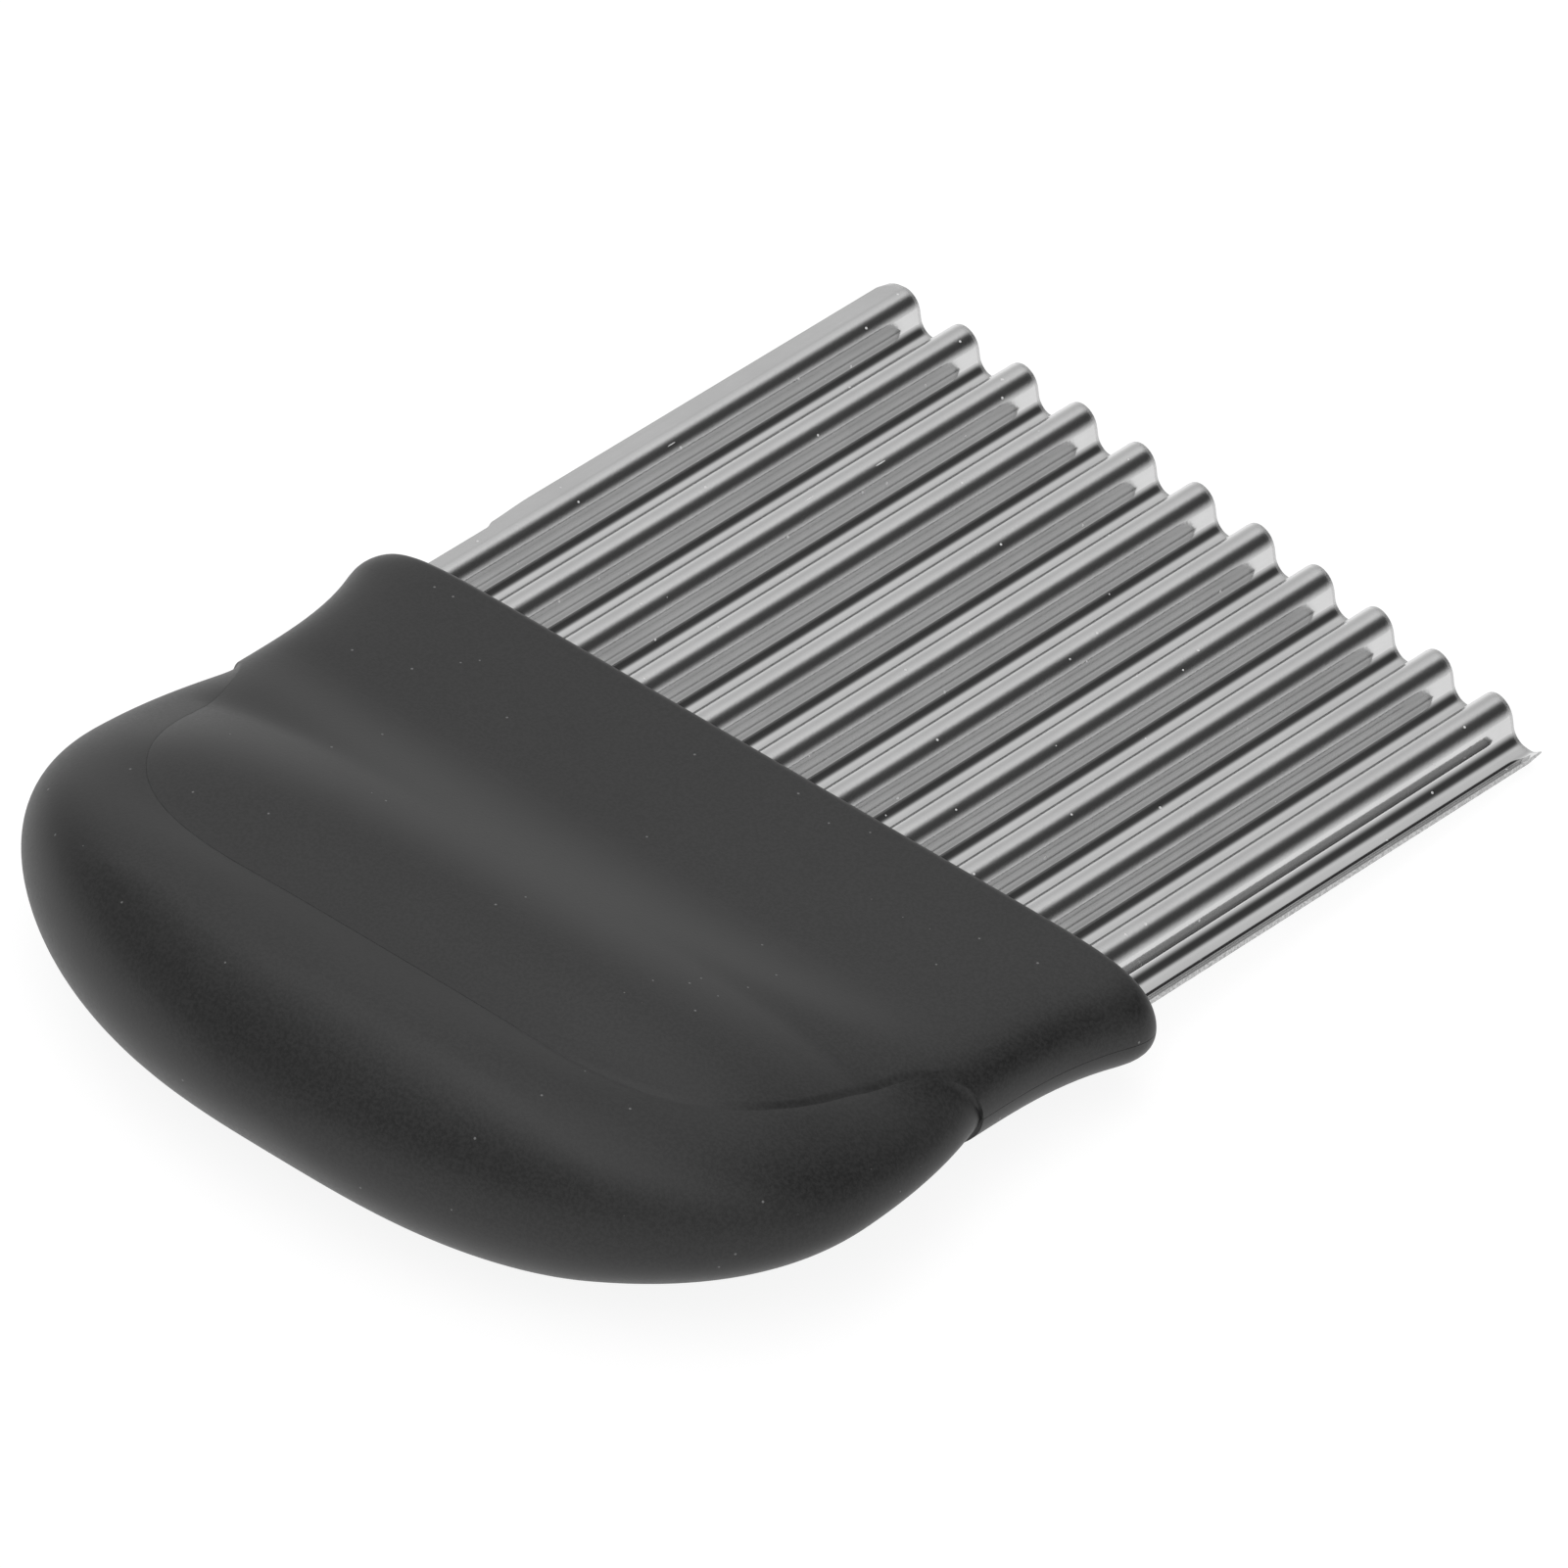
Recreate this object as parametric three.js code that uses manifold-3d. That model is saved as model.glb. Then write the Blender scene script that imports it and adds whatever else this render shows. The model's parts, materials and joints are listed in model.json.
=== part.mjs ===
// Crinkle cutter: a corrugated steel blade clamped between two moulded handle halves,
// with a soft palm grip moulded round their rear.
// Millimetres. The pieces are made with y = 0 on the handle's front face, +Y towards the
// cutting edge, +Z up and z = 0 on the middle of the sheet. At the end the cutter is laid down.

import * as THREE from 'three';
import { mergeVertices } from 'three/addons/utils/BufferGeometryUtils.js';
import Module from 'manifold-3d';

const wasm = await Module();
wasm.setup();
const mix = THREE.MathUtils.lerp;
const smooth = THREE.MathUtils.smoothstep;

// Blade: a corrugated sheet with a slanted, ground cutting edge
const bladeWidth = 83.85;
const bladeReach = 58.6; // from the handle to the cutting edge, on the centre line
const edgeSlant = THREE.MathUtils.degToRad(6.1); // the left corner reaches further than the right
const edgeCrown = 0.3; // bow of the cutting edge over the blade's width
const sheetThickness = 0.45;
const wavePitch = 7.6;
const waveHeight = 3.37; // crest to valley
const waveFlat = 0.25; // flat on each crest and in each valley
const flankAngle = THREE.MathUtils.degToRad(77);
const leftLipAngle = THREE.MathUtils.degToRad(10); // slope of the sheet outside its first bend
const rightLipAngle = THREE.MathUtils.degToRad(36); // slope of the sheet outside its last bend
const firstCrestInset = 2.25; // from the left edge to the first crest
const edgeThickness = 0.12;
const topGrind = 0.4; // length of the fine bevel on the upper side
const topGrindDrop = 0.06;
const lowerGrind = 1.6; // length of the ground bevel on the lower side

// Tang: the end of the sheet that the handle holds
const shoulderReach = 0.65; // the blade stands out this far beyond the tang, on its left side
const tangRelief = 10.5; // how far the tang shows in front of the handle
const tangWall = 1.5; // plastic beside the tang
const tangSetback = 1.7; // from the notch to the end of the tang
const pinRadius = 1.6;
const pinSpacing = 22;
const pinSetback = 5; // from the end of the tang to the row of pins
const pinRoof = 0.8; // plastic left above a pin's socket

// Handle halves: a flat collar in front and a domed tongue behind it
const collarOverhang = 6; // beyond the tang on each side, before the corners are rounded
const collarWall = 2.54; // plastic over the crests
const collarDepth = 20.7; // from the front face to the notch in the side
const flarePower = 3.1; // how late the sides flare out towards the front
const cornerRadius = 4.2;
const frontRadius = 1;
const flatDepth = 17; // length of the flat top behind the front face
const domeRun = 22; // from the end of the flat top to the ridge
const domeRise = 4.75; // height of the ridge above the flat top
const crownRun = 13; // from the end of the flat top to the place where it is fully rounded across
const creaseRun = 9.1; // from the ridge to the rear of the crease
const creaseFall = 0.9; // how far the top drops from the ridge to the crease
const neckRun = 11.3; // from the notch back to the side of the tongue
const neckBendRun = 1.3; // from the notch back to the bend of the crease
const neckBendInset = 4.4; // from the notch in to the bend of the crease
const tongueInset = 5.8; // from the notch in to the side of the tongue
const tongueTaper = 1.4; // how far the sides of the tongue draw in towards its corners
const tongueRadius = 20.2;
const collarPower = 14; // squareness of the section in the collar
const tonguePower = 3.5; // squareness of the section where it is fully rounded
const partingGap = 0.3;

// Palm grip: a soft skin over the rear of the halves
const gripStep = 0.5; // the collar stands proud of the grip by this much at the notch
const gripSwell = 2.15; // how far the arms swell out beyond the notch
const gripSwellRun = 15.5; // from the notch to the widest place
const gripSwellPower = 2.2; // how early the arms swell out
const gripFrontRise = 0.7; // height of the grip's front above the flat top of the collar
const gripRise = 0.9; // height of the grip above the tongue at the crease
const gripApexRun = 6.9; // from the crease to the thickest place
const gripRearRun = 9; // from the thickest place to the rear of the handle
const gripPower = 4.9; // squareness of the section along the arms
const gripEndPower = 3.1; // squareness of the section at the rear
const gripPlanPower = 2.14; // squareness of the rear seen from above
const gripSidePower = 1.75; // squareness of the rear seen from the side
const gripSkin = 3.2;
const tailLap = 12; // how far the tail inside the grip starts ahead of the crease's rear

// Fits
const sheetClearance = 0.3; // between the sheet and the halves
const pinClearance = 0.3;
const gripClearance = 0.3;

// Mesh fineness
const arcSteps = 4; // on each side of a bend
const cornerSteps = 6;
const sectionSteps = 20; // points across the top of a section
const stationStep = 2.6;
const rearSteps = 14;
const roundSteps = 8;
const bisections = 30;

// Sizes that follow
const tangWidth = bladeWidth - shoulderReach;
const tangSide = tangWidth / 2;
const leftEdge = -tangSide - shoulderReach;
const tangDepth = collarDepth - tangSetback;
const pinDepth = tangDepth - pinSetback;
const collarWidth = tangWidth + 2 * collarOverhang;
const collarThickness = waveHeight + sheetThickness + 2 * (sheetClearance + collarWall);
const neckWidth = tangWidth + 2 * (sheetClearance + tangWall); // across the notches
const ridgeDepth = flatDepth + domeRun;
const ridgeThickness = collarThickness + 2 * domeRise;
const tongueDepth = ridgeDepth + creaseRun;
const tongueEndThickness = ridgeThickness - 2 * creaseFall;
const gripWidth = neckWidth + 2 * gripSwell;
const gripWidestDepth = collarDepth + gripSwellRun;
const gripFrontThickness = collarThickness + 2 * gripFrontRise;
const gripThickness = tongueEndThickness + 2 * gripRise;
const gripThickestDepth = tongueDepth + gripApexRun;
const gripDepth = gripThickestDepth + gripRearRun;
const pinTop = collarThickness / 2 - pinRoof - pinClearance;
const beyond = 2 * (collarWidth + bladeReach + gripDepth); // past the cutter on every side

// A solid for joining and cutting, from a closed geometry
function solid(geometry) {
  const bare = geometry.clone();
  bare.deleteAttribute('normal');
  bare.deleteAttribute('uv');
  const merged = mergeVertices(bare, 1e-5);
  return new wasm.Manifold(new wasm.Mesh({
    numProp: 3,
    vertProperties: new Float32Array(merged.attributes.position.array),
    triVerts: new Uint32Array(merged.index.array),
  }));
}

// A geometry from a joined or cut solid
function geometryOf(body) {
  const mesh = body.getMesh();
  const geometry = new THREE.BufferGeometry();
  geometry.setAttribute('position', new THREE.BufferAttribute(mesh.vertProperties, 3));
  geometry.setIndex(new THREE.BufferAttribute(mesh.triVerts, 1));
  geometry.computeVertexNormals();
  return geometry;
}

function indexedGeometry(points, triangles) {
  const geometry = new THREE.BufferGeometry().setFromPoints(points);
  geometry.setIndex(triangles);
  return geometry;
}

// Closed loft through rings that run from the front to the rear, ending in a point
function loft(rings, rearPoint) {
  const count = rings[0].length;
  const points = rings.flat();
  const triangles = [];
  for (let j = 0; j + 1 < rings.length; j += 1) {
    for (let i = 0; i < count; i += 1) {
      const a = j * count + i;
      const b = j * count + (i + 1) % count;
      triangles.push(a, b, a + count, b, b + count, a + count);
    }
  }
  const front = points.push(new THREE.Vector3(0, rings[0][0].y, 0)) - 1;
  const rear = points.push(rearPoint) - 1;
  const last = (rings.length - 1) * count;
  for (let i = 0; i < count; i += 1) {
    const next = (i + 1) % count;
    triangles.push(front, next, i);
    triangles.push(rear, last + i, last + next);
  }
  return indexedGeometry(points, triangles);
}

// Closed body between two grids of points, whose rows run to +Y and columns to +X
function slab(topRows, lowerRows) {
  const rows = topRows.length;
  const columns = topRows[0].length;
  const points = [...topRows.flat(), ...lowerRows.flat()];
  const triangles = [];
  const top = (j, i) => j * columns + i;
  const low = (j, i) => rows * columns + j * columns + i;
  const quad = (a, b, c, d) => triangles.push(a, b, c, a, c, d);
  for (let j = 0; j + 1 < rows; j += 1) {
    for (let i = 0; i + 1 < columns; i += 1) {
      quad(top(j, i), top(j, i + 1), top(j + 1, i + 1), top(j + 1, i));
      quad(low(j, i), low(j + 1, i), low(j + 1, i + 1), low(j, i + 1));
    }
    quad(low(j, 0), top(j, 0), top(j + 1, 0), low(j + 1, 0));
    quad(low(j, columns - 1), low(j + 1, columns - 1), top(j + 1, columns - 1), top(j, columns - 1));
  }
  for (let i = 0; i + 1 < columns; i += 1) {
    quad(low(0, i), low(0, i + 1), top(0, i + 1), top(0, i));
    quad(low(rows - 1, i), top(rows - 1, i), top(rows - 1, i + 1), low(rows - 1, i + 1));
  }
  return indexedGeometry(points, triangles);
}

// Upright prism on an outline seen from above, taller than the cutter
function prism(outline) {
  const geometry = new THREE.ExtrudeGeometry(outline, {
    depth: beyond,
    bevelEnabled: false,
    curveSegments: roundSteps,
  });
  return solid(geometry.translate(0, 0, -beyond / 2));
}

// Upright round bar between two heights
function upright(radius, from, to, x, y) {
  const geometry = new THREE.CylinderGeometry(radius, radius, to - from, 2 * roundSteps);
  return solid(geometry.rotateX(Math.PI / 2).translate(x, y, (from + to) / 2));
}

// Corrugation of the sheet's upper face: equal bends on crests and valleys, joined by straight flanks
const halfPitch = wavePitch / 2;
const bendRun = halfPitch - waveFlat;
const waveRadius = (bendRun * Math.tan(flankAngle) - waveHeight) / (2 / Math.cos(flankAngle) - 2);
const firstCrest = leftEdge + firstCrestInset;
const lastBend = Math.floor((bladeWidth - firstCrestInset) / halfPitch);

// A bend points up on a crest and down in a valley
const bendSide = (bend) => (bend % 2 === 0 ? 1 : -1);

// Points along one bend, moved off the upper face by an offset along its normal
function bendPoints(bend, offset) {
  const side = bendSide(bend);
  const radius = waveRadius + side * offset;
  const centreX = firstCrest + bend * halfPitch;
  const centreZ = sheetThickness / 2 + side * (waveHeight / 2 - waveRadius);
  const start = bend === 0 ? -leftLipAngle : -flankAngle;
  const end = bend === lastBend ? rightLipAngle : flankAngle;
  const arc = (from, to, shift) => Array.from({ length: arcSteps + 1 }, (_, step) => {
    const angle = mix(from, to, step / arcSteps);
    return new THREE.Vector2(
      centreX + shift + radius * Math.sin(angle),
      centreZ + side * radius * Math.cos(angle),
    );
  });
  return [...arc(start, 0, -waveFlat / 2), ...arc(0, end, waveFlat / 2)];
}

// Straight lip outside the first or last bend, run on past the edge of the sheet
function lipEnd(start, outward, side, angle) {
  const run = new THREE.Vector2(outward * Math.cos(angle), -side * Math.sin(angle));
  return run.multiplyScalar(wavePitch).add(start);
}

// Points along the whole corrugation
function wavePoints(offset) {
  const points = [];
  for (let bend = 0; bend <= lastBend; bend += 1) {
    points.push(...bendPoints(bend, offset));
  }
  const left = lipEnd(points[0], -1, bendSide(0), leftLipAngle);
  const right = lipEnd(points[points.length - 1], 1, bendSide(lastBend), rightLipAngle);
  return [left, ...points, right];
}

// Place of the cutting edge in front of the handle
function edgeY(x) {
  const across = x / (bladeWidth / 2);
  return bladeReach - x * Math.tan(edgeSlant) - edgeCrown * across * across;
}

// Crest nearest to a place across the blade
function crestNear(x) {
  return firstCrest + Math.round((x - firstCrest) / wavePitch) * wavePitch;
}
const pinPlaces = [-pinSpacing, 0, pinSpacing].map(crestNear);

// Blade seen from above: its left side has a shoulder in front of the handle
function bladeOutline() {
  const outline = new THREE.Shape();
  outline.moveTo(leftEdge, tangRelief);
  outline.lineTo(-tangSide, tangRelief - shoulderReach);
  outline.lineTo(-tangSide, -tangDepth);
  outline.lineTo(tangSide, -tangDepth);
  outline.lineTo(tangSide, beyond);
  outline.lineTo(leftEdge, beyond);
  return outline;
}

function corrugatedBlade() {
  const low = -sheetThickness;
  const edgeTop = -topGrindDrop;
  const edgeLow = edgeTop - edgeThickness;
  const stations = [
    { y: () => -tangDepth - wavePitch, top: 0, low },
    { y: (x) => edgeY(x) - lowerGrind, top: 0, low },
    { y: (x) => edgeY(x) - topGrind, top: 0, low: mix(edgeLow, low, topGrind / lowerGrind) },
    { y: (x) => edgeY(x), top: edgeTop, low: edgeLow },
  ];
  const upperFace = wavePoints(0);
  const row = (station, offset) => wavePoints(offset).map(
    (p, i) => new THREE.Vector3(p.x, station.y(upperFace[i].x), p.y),
  );
  const sheet = solid(slab(
    stations.map((station) => row(station, station.top)),
    stations.map((station) => row(station, station.low)),
  ));
  let blade = sheet.intersect(prism(bladeOutline()));
  for (const x of pinPlaces) {
    blade = blade.subtract(upright(pinRadius + pinClearance, -beyond, beyond, x, -pinDepth));
  }
  return geometryOf(blade);
}

// Handle sections: rounded ends and a top that is flatter the higher the power
function section(y, halfWidth, halfThickness, power) {
  const ring = [];
  for (let step = 0; step < 2 * sectionSteps; step += 1) {
    const along = Math.cos(Math.PI * step / sectionSteps);
    const side = step <= sectionSteps ? 1 : -1;
    const rise = Math.sqrt(Math.max(0, 1 - Math.abs(along) ** power));
    ring.push(new THREE.Vector3(halfWidth * along, y, side * halfThickness * rise));
  }
  return ring;
}

// How far a rounded corner draws the outline in at a depth behind its start
function rounded(radius, depth) {
  return depth >= radius ? 0 : radius - Math.sqrt(radius ** 2 - (radius - depth) ** 2);
}

// Half width of the collar at a depth behind the front face: concave sides and round corners
function collarHalfWidth(depth) {
  const flare = Math.max(0, 1 - depth / collarDepth) ** flarePower;
  return mix(neckWidth, collarWidth, flare) / 2 - rounded(cornerRadius, depth);
}

// Half thickness of the collar and tongue on the centre line
function tongueHalfThickness(depth) {
  const rise = smooth(depth, flatDepth, ridgeDepth);
  const fall = smooth(depth, ridgeDepth, tongueDepth);
  const thickness = mix(mix(collarThickness, ridgeThickness, rise), tongueEndThickness, fall);
  return thickness / 2 - rounded(frontRadius, depth);
}

// Collar and tongue in one, run on past the crease
function tongueBody() {
  const depths = [];
  for (let step = 0; step < cornerSteps; step += 1) {
    depths.push(cornerRadius * (1 - Math.cos(Math.PI / 2 * step / cornerSteps)));
  }
  const end = tongueDepth + stationStep;
  const steps = Math.ceil((end - cornerRadius) / stationStep);
  for (let step = 0; step <= steps; step += 1) {
    depths.push(mix(cornerRadius, end, step / steps));
  }
  const rings = depths.map((depth) => section(
    -depth,
    collarHalfWidth(depth),
    tongueHalfThickness(depth),
    mix(collarPower, tonguePower, smooth(depth, flatDepth, flatDepth + crownRun)),
  ));
  return solid(loft(rings, new THREE.Vector3(0, -end, 0)));
}

// Space in front of the crease, whose line runs from notch to notch round the rear of the tongue
function creaseSpace(grow) {
  const notchSide = neckWidth / 2 + grow;
  const notch = -collarDepth - grow;
  const bendSideways = notchSide - neckBendInset;
  const bend = notch - neckBendRun;
  const side = notchSide - tongueInset;
  const sideStart = notch - neckRun;
  const corner = side - tongueTaper;
  const rear = -tongueDepth - grow;
  const rearEnd = corner - tongueRadius;
  const outline = new THREE.Shape();
  outline.moveTo(-beyond, beyond);
  outline.lineTo(-beyond, notch);
  outline.lineTo(-notchSide, notch);
  outline.quadraticCurveTo(-bendSideways, bend, -side, sideStart);
  outline.quadraticCurveTo(-corner, rear, -rearEnd, rear);
  outline.lineTo(rearEnd, rear);
  outline.quadraticCurveTo(corner, rear, side, sideStart);
  outline.quadraticCurveTo(bendSideways, bend, notchSide, notch);
  outline.lineTo(beyond, notch);
  outline.lineTo(beyond, beyond);
  return prism(outline);
}

// Share of full size left at a share of the way to a rounded end
const closing = (share, power) => (1 - share ** power) ** (1 / power);

// Outer shape of the grip, taken in by an inset on every side
function gripBody(start, inset) {
  const rear = gripDepth - inset;
  const share = (depth, from, to) => THREE.MathUtils.clamp((depth - from) / (to - from), 0, 1);
  const halfWidth = (depth) => {
    const swell = 1 - (1 - share(depth, collarDepth, gripWidestDepth)) ** gripSwellPower;
    const width = mix(neckWidth - 2 * gripStep, gripWidth, swell);
    return (width / 2 - inset) * closing(share(depth, gripWidestDepth, rear), gripPlanPower);
  };
  const halfThickness = (depth) => {
    const swell = smooth(depth, collarDepth, gripThickestDepth);
    const thickness = mix(gripFrontThickness, gripThickness, swell);
    return (thickness / 2 - inset) * closing(share(depth, gripThickestDepth, rear), gripSidePower);
  };
  const depths = [];
  const steps = Math.ceil((gripThickestDepth - start) / stationStep);
  for (let step = 0; step < steps; step += 1) {
    depths.push(mix(start, gripThickestDepth, step / steps));
  }
  for (let step = 0; step < rearSteps; step += 1) {
    depths.push(mix(gripThickestDepth, rear, Math.sin(Math.PI / 2 * step / rearSteps)));
  }
  const rings = depths.map((depth) => section(
    -depth,
    halfWidth(depth),
    halfThickness(depth),
    mix(gripPower, gripEndPower, smooth(depth, gripWidestDepth, rear)),
  ));
  return solid(loft(rings, new THREE.Vector3(0, -rear, 0)));
}

// Space on one side of the sheet's middle: wavy over the tang, flat beside and behind it
function clampSpace(side) {
  const wave = wavePoints(side > 0 ? sheetClearance : -sheetThickness - sheetClearance);
  const limit = wave.map((p) => new THREE.Vector2(p.x, side * beyond));
  const pocketEnd = -tangDepth - sheetClearance;
  const rows = (points) => [-tangDepth - wavePitch, beyond].map(
    (y) => points.map((p) => new THREE.Vector3(p.x, y, p.y)),
  );
  const waved = side > 0 ? slab(rows(limit), rows(wave)) : slab(rows(wave), rows(limit));
  const pocket = new THREE.BoxGeometry(tangWidth + 2 * sheetClearance, 2 * beyond, 2 * beyond);
  pocket.translate(0, pocketEnd + beyond, 0);
  const flat = new THREE.BoxGeometry(2 * beyond, 2 * beyond, beyond);
  flat.translate(0, 0, side * (beyond + partingGap) / 2);
  return solid(flat).subtract(solid(pocket)).add(solid(waved).intersect(solid(pocket)));
}

const tailStart = tongueDepth - tailLap;
const core = tongueBody().intersect(creaseSpace(0)).add(gripBody(tailStart, gripSkin));

// The upper half has the sockets for the pins
function upperHalf() {
  let half = core.intersect(clampSpace(1));
  for (const x of pinPlaces) {
    half = half.subtract(upright(pinRadius + pinClearance, 0, pinTop + pinClearance, x, -pinDepth));
  }
  return geometryOf(half);
}

// The lower half has the pins, which pass through the tang
function lowerHalf() {
  let half = core.intersect(clampSpace(-1));
  for (const x of pinPlaces) {
    half = half.add(upright(pinRadius, -collarWall, pinTop, x, -pinDepth));
  }
  return geometryOf(half);
}

function palmGrip() {
  const tail = gripBody(tailStart - gripClearance, gripSkin - gripClearance);
  return geometryOf(gripBody(collarDepth, 0).subtract(creaseSpace(gripClearance)).subtract(tail));
}

function named(name, geometry, finish) {
  const mesh = new THREE.Mesh(geometry, new THREE.MeshStandardMaterial(finish));
  mesh.name = name;
  return mesh;
}

const steel = { color: 0xc4c4c4, metalness: 1, roughness: 0.25 };
const hardPlastic = { color: 0x303030, metalness: 0, roughness: 0.6 };
const softPlastic = { color: 0x2d2d2d, metalness: 0, roughness: 0.75 };

const blade = named('corrugated_blade', corrugatedBlade(), steel);
const upper = named('handle_upper_half', upperHalf(), hardPlastic);
const lower = named('handle_lower_half', lowerHalf(), hardPlastic);
const grip = named('palm_grip', palmGrip(), softPlastic);

const cutter = new THREE.Group();
cutter.add(blade, upper, lower, grip);

// Lowest height of a mesh when the cutter is tipped forward by an angle
function lowest(mesh, angle) {
  const places = mesh.geometry.attributes.position;
  let least = Infinity;
  for (let i = 0; i < places.count; i += 1) {
    least = Math.min(least, places.getZ(i) * Math.cos(angle) - places.getY(i) * Math.sin(angle));
  }
  return least;
}

// Angle at which the cutter lies on the swell of its handle and on its cutting edge
function lyingAngle() {
  let low = 0;
  let high = Math.PI / 4;
  for (let turn = 0; turn < bisections; turn += 1) {
    const angle = (low + high) / 2;
    const handleFoot = Math.min(lowest(lower, angle), lowest(grip, angle));
    if (lowest(blade, angle) > handleFoot) {
      low = angle;
    } else {
      high = angle;
    }
  }
  return (low + high) / 2;
}

cutter.rotation.x = -lyingAngle();

// The origin is under the middle of the cutter, on the surface that it lies on
const assembly = new THREE.Group();
assembly.add(cutter);
const bounds = new THREE.Box3().setFromObject(cutter, true);
const centre = bounds.getCenter(new THREE.Vector3());
cutter.position.set(-centre.x, -centre.y, -bounds.min.z);

export default assembly;
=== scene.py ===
import bpy
import json
from bisect import bisect_left
from math import atan2, cos, hypot, pi, radians, sin, sqrt, tan
from mathutils import Matrix, Vector
from mathutils.kdtree import KDTree


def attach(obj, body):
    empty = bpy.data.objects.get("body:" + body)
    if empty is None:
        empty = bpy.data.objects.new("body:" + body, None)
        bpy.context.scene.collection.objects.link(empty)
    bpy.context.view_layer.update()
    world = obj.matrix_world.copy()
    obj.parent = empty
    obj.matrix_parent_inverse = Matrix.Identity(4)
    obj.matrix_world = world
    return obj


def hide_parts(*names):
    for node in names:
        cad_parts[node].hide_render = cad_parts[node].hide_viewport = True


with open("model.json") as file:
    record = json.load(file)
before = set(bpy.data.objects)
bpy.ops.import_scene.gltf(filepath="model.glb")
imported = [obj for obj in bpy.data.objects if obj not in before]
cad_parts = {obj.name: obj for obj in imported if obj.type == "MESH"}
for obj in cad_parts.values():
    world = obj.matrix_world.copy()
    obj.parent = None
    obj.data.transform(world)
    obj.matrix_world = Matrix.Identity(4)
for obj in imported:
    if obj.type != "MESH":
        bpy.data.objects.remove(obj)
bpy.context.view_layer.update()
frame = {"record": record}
scene = bpy.context.scene
scene.view_settings.view_transform = "Standard"
mm = 0.001

# the cutter's own frame: front face at depth 0, middle of the sheet at height 0,
# laid down as the record's front face says
frontFace = frame["record"]["mounts"][0]
facing = Vector(frontFace["axis"])
lean = Matrix.Rotation(atan2(facing.z, facing.y), 4, "X")
frontSpot = Vector((1.8, 0, 2)) * mm    # the mount's place on the front
cutterPlace = Vector(frontFace["pos_m"]) - lean @ frontSpot
lying = Matrix.Translation(cutterPlace) @ lean
toCutter = lying.inverted()


def mix(start, end, share):
    return start + (end - start) * share


def shareOf(value, low, high):
    return min(1, max(0, (value - low) / (high - low)))


def ease(value, low, high):
    share = shareOf(value, low, high)
    return share * share * (3 - 2 * share)


def roundedOff(radius, distance):    # how far a rounded edge falls short, this far in from its face
    if distance >= radius:
        return 0
    return radius - sqrt(radius ** 2 - (radius - max(0, distance)) ** 2)


def roundStep(radius, step, steps):    # how far in a rounded edge is at one of its steps
    return radius * (1 - cos(pi / 2 * step / steps))


def quadratic(start, bend, end, share):
    return tuple(
        (1 - share) ** 2 * a + 2 * share * (1 - share) * b + share ** 2 * c
        for a, b, c in zip(start, bend, end)
    )


# each piece starts as a grid with a wall, and its two skins are then set to the piece's
# upper and lower shape
startSheet = {
    "wall": 0.5,
    "smoothAngle": 32,
}


def closedSheet(name, columns, rows, upper, lower):
    bpy.ops.object.select_all(action="DESELECT")
    bpy.ops.mesh.primitive_grid_add(x_subdivisions=columns - 1, y_subdivisions=rows - 1, size=1)
    piece = bpy.context.object
    piece.name = name
    wall = piece.modifiers.new("wall", "SOLIDIFY")
    wall.thickness = startSheet["wall"]
    bpy.ops.object.modifier_apply(modifier="wall")
    for vertex in piece.data.vertices:    # the grid runs from -0.5 to 0.5 both ways
        column = round((vertex.co.x + 0.5) * (columns - 1))
        row = round((vertex.co.y + 0.5) * (rows - 1))
        skin = upper if vertex.co.z > -startSheet["wall"] / 2 else lower
        x, depth, height = skin(column, row)
        vertex.co = lying @ (Vector((x, -depth, height)) * mm)
    bpy.ops.object.mode_set(mode="EDIT")
    bpy.ops.mesh.select_all(action="SELECT")
    bpy.ops.mesh.normals_make_consistent(inside=False)
    bpy.ops.object.mode_set(mode="OBJECT")
    bpy.ops.object.shade_smooth_by_angle(angle=radians(startSheet["smoothAngle"]))
    return piece


def settle(piece, node, slot, *materials):
    for material in materials:
        piece.data.materials.append(material)
    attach(piece, "root")
    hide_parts(node)
    print(piece.name, len(piece.data.polygons), "faces")


# camera
camera = {
    "azimuth": 42.183,
    "elevation": 39.857,
    "distance": 2062,
    "aside": 1.547,
    "above": 1.014,
    "lens": 552.5,
    "sensor": 36,
    "clip": (0.05, 100),
}


def addCamera():
    azimuth = radians(camera["azimuth"])
    elevation = radians(camera["elevation"])
    right = Vector((cos(azimuth), sin(azimuth), 0))
    up = Vector((-sin(azimuth) * sin(elevation), cos(azimuth) * sin(elevation), cos(elevation)))
    back = right.cross(up)
    offset = right * camera["aside"] + up * camera["above"] + back * camera["distance"]
    bpy.ops.object.camera_add()
    viewer = bpy.context.object
    viewer.data.lens = camera["lens"]
    viewer.data.sensor_width = camera["sensor"]
    viewer.data.clip_start, viewer.data.clip_end = camera["clip"]
    turn = Matrix((right, up, back)).transposed().to_4x4()
    viewer.matrix_world = Matrix.Translation(cutterPlace + offset * mm) @ turn
    scene.camera = viewer


addCamera()
print("camera set")


# shader nodes, for the finishes and the sky
def newMaterial(name):
    material = bpy.data.materials.new(name)
    material.use_nodes = True
    return material, material.node_tree.nodes["Principled BSDF"]


def joinTo(owner, output, socket):
    owner.node_tree.links.new(output, socket)


def addNode(owner, kind, inputs=None, **settings):
    node = owner.node_tree.nodes.new(kind)
    for key, value in settings.items():
        setattr(node, key, value)
    for key, value in (inputs or {}).items():
        if isinstance(value, bpy.types.NodeSocket):
            joinTo(owner, value, node.inputs[key])
        else:
            node.inputs[key].default_value = value
    return node


def addMath(owner, operation, *values):
    return addNode(owner, "ShaderNodeMath", dict(enumerate(values)), operation=operation).outputs[0]


def objectPlace(owner):
    return addNode(owner, "ShaderNodeTexCoord").outputs["Object"]


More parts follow.
